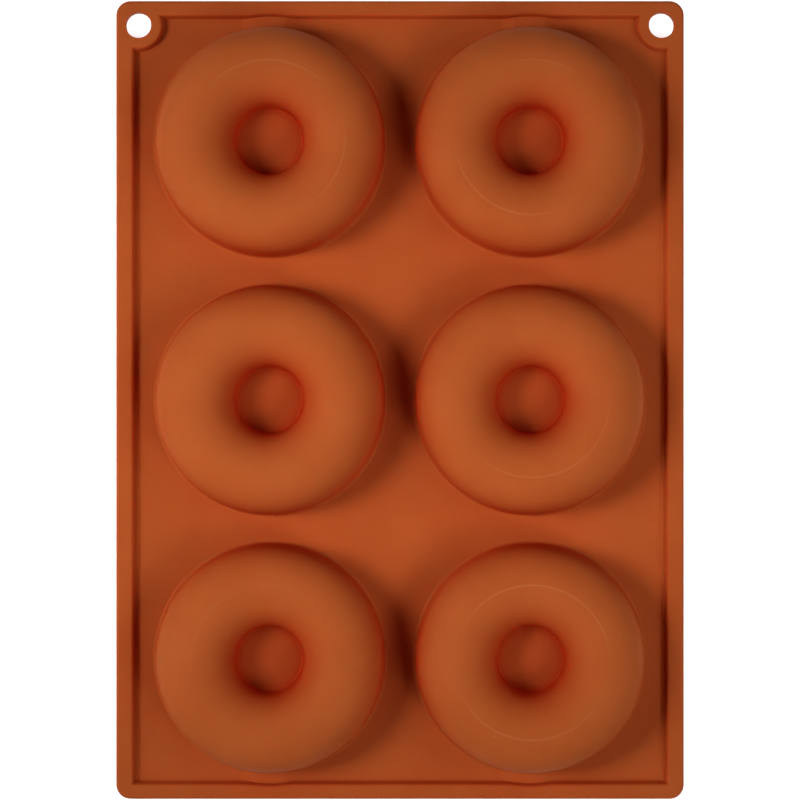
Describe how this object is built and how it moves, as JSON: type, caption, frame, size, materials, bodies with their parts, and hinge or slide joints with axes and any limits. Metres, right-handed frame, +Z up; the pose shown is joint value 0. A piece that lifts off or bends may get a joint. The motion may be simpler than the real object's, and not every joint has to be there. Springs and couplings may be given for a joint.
{
  "type": "silicone doughnut mould",
  "caption": "Flexible moulded baking mould with ring cavities in a grid, hollow centre posts, a raised border and hanging holes in two corners.",
  "frame": {"origin": "centre of the mould's outline, on the flat filling face that it rests on", "axes": "+X across the mould, +Y along it towards the hanging holes, +Z up through the domes, which point up because the mould lies upside down"},
  "size_m": [0.1784, 0.2508, 0.025],
  "materials": {
    "silicone": "satin terracotta silicone"
  },
  "bodies": {
    "root": {"doughnut_mould": "silicone"}
  },
  "joints": []
}
